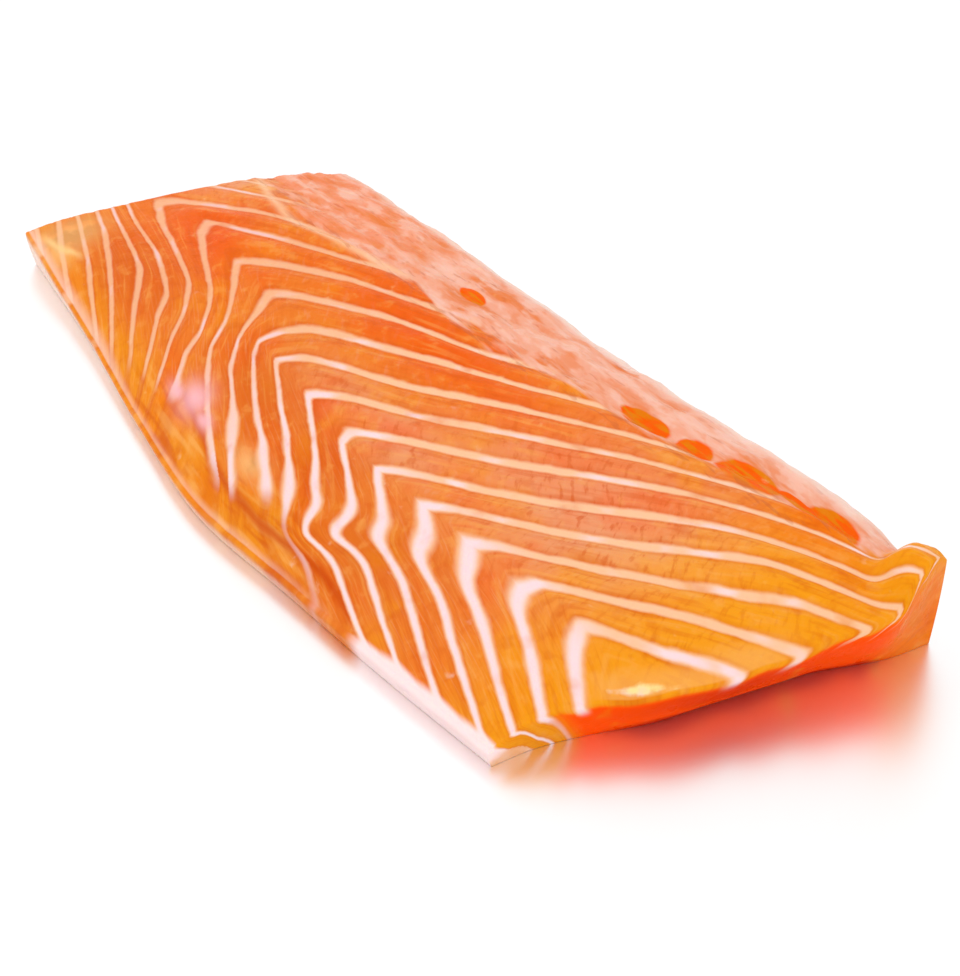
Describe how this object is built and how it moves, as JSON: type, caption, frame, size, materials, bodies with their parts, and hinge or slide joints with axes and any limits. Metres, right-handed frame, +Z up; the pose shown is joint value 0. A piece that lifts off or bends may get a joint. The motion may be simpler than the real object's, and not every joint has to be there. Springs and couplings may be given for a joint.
{
  "type": "raw salmon fillet",
  "caption": "Raw salmon fillet lying flesh side up: a wedge-edged block of orange flesh with pale chevron fat lines, cut straight at both ends.",
  "frame": {"origin": "on the flat underside, under the middle of the piece's box", "axes": "+X along the piece from the far cut to the near cut, +Y from the thin edge to the thick back edge, +Z up"},
  "size_m": [0.1974, 0.0884, 0.0207],
  "materials": {
    "flesh": "raw salmon flesh, wet and glossy, orange with pale fat lines"
  },
  "bodies": {
    "root": {"fillet": "flesh"}
  },
  "joints": []
}
